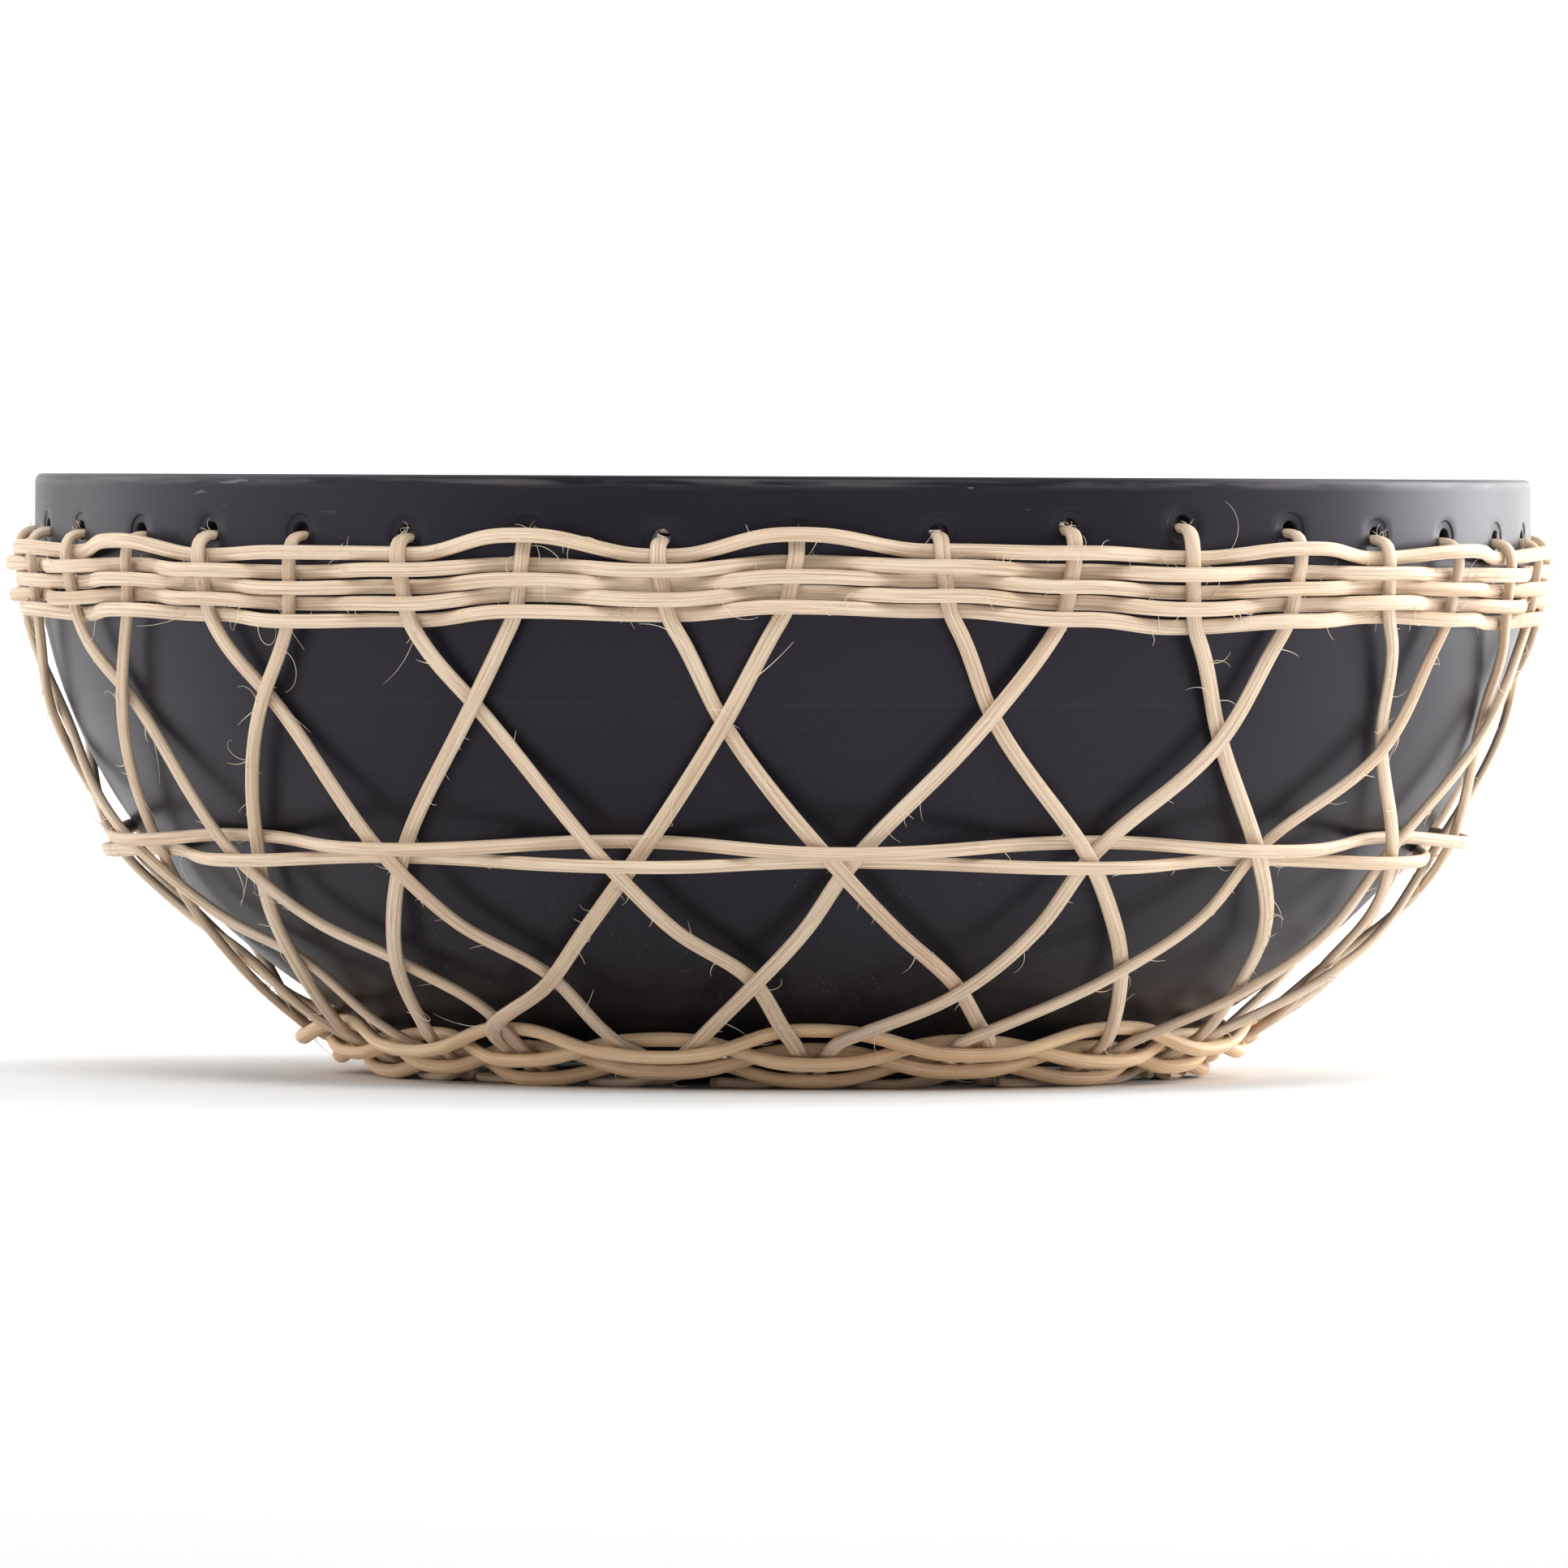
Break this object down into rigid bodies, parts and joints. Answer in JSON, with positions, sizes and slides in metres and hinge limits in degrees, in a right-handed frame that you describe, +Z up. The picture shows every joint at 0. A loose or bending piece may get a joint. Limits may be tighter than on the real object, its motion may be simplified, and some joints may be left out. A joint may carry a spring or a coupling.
{
  "type": "fruit bowl in a rattan cane cage",
  "caption": "Round black bowl held in an open lattice of natural rattan cane, with a woven band under the rim, a woven ring at mid height and a woven foot.",
  "frame": {"origin": "on the floor, under the centre of the bowl", "axes": "+Z up through the bowl's mouth; -Y is the front of the pictured side; +X is to the right"},
  "size_m": [0.4155, 0.4162, 0.16],
  "materials": {
    "bowl": "turned wood with a satin black stain",
    "stake_cane": "natural rattan cane, unvarnished",
    "row_cane": "natural rattan cane, unvarnished",
    "base_cane": "natural rattan cane, darker and older in tone"
  },
  "bodies": {
    "root": {"bowl": "bowl", "stake_cane_01": "stake_cane", "stake_cane_02": "stake_cane", "stake_cane_03": "stake_cane", "stake_cane_04": "stake_cane", "stake_cane_05": "stake_cane", "stake_cane_06": "stake_cane", "stake_cane_07": "stake_cane", "stake_cane_08": "stake_cane", "stake_cane_09": "stake_cane", "stake_cane_10": "stake_cane", "stake_cane_11": "stake_cane", "stake_cane_12": "stake_cane", "stake_cane_13": "stake_cane", "stake_cane_14": "stake_cane", "stake_cane_15": "stake_cane", "stake_cane_16": "stake_cane", "stake_cane_17": "stake_cane", "stake_cane_18": "stake_cane", "band_row_1": "row_cane", "band_row_2": "row_cane", "band_row_3": "row_cane", "band_row_4": "row_cane", "band_row_5": "row_cane", "middle_ring_row_1": "row_cane", "middle_ring_row_2": "row_cane", "base_row_1": "base_cane", "base_row_2": "base_cane", "base_row_3": "base_cane", "base_row_4": "base_cane"}
  },
  "joints": []
}
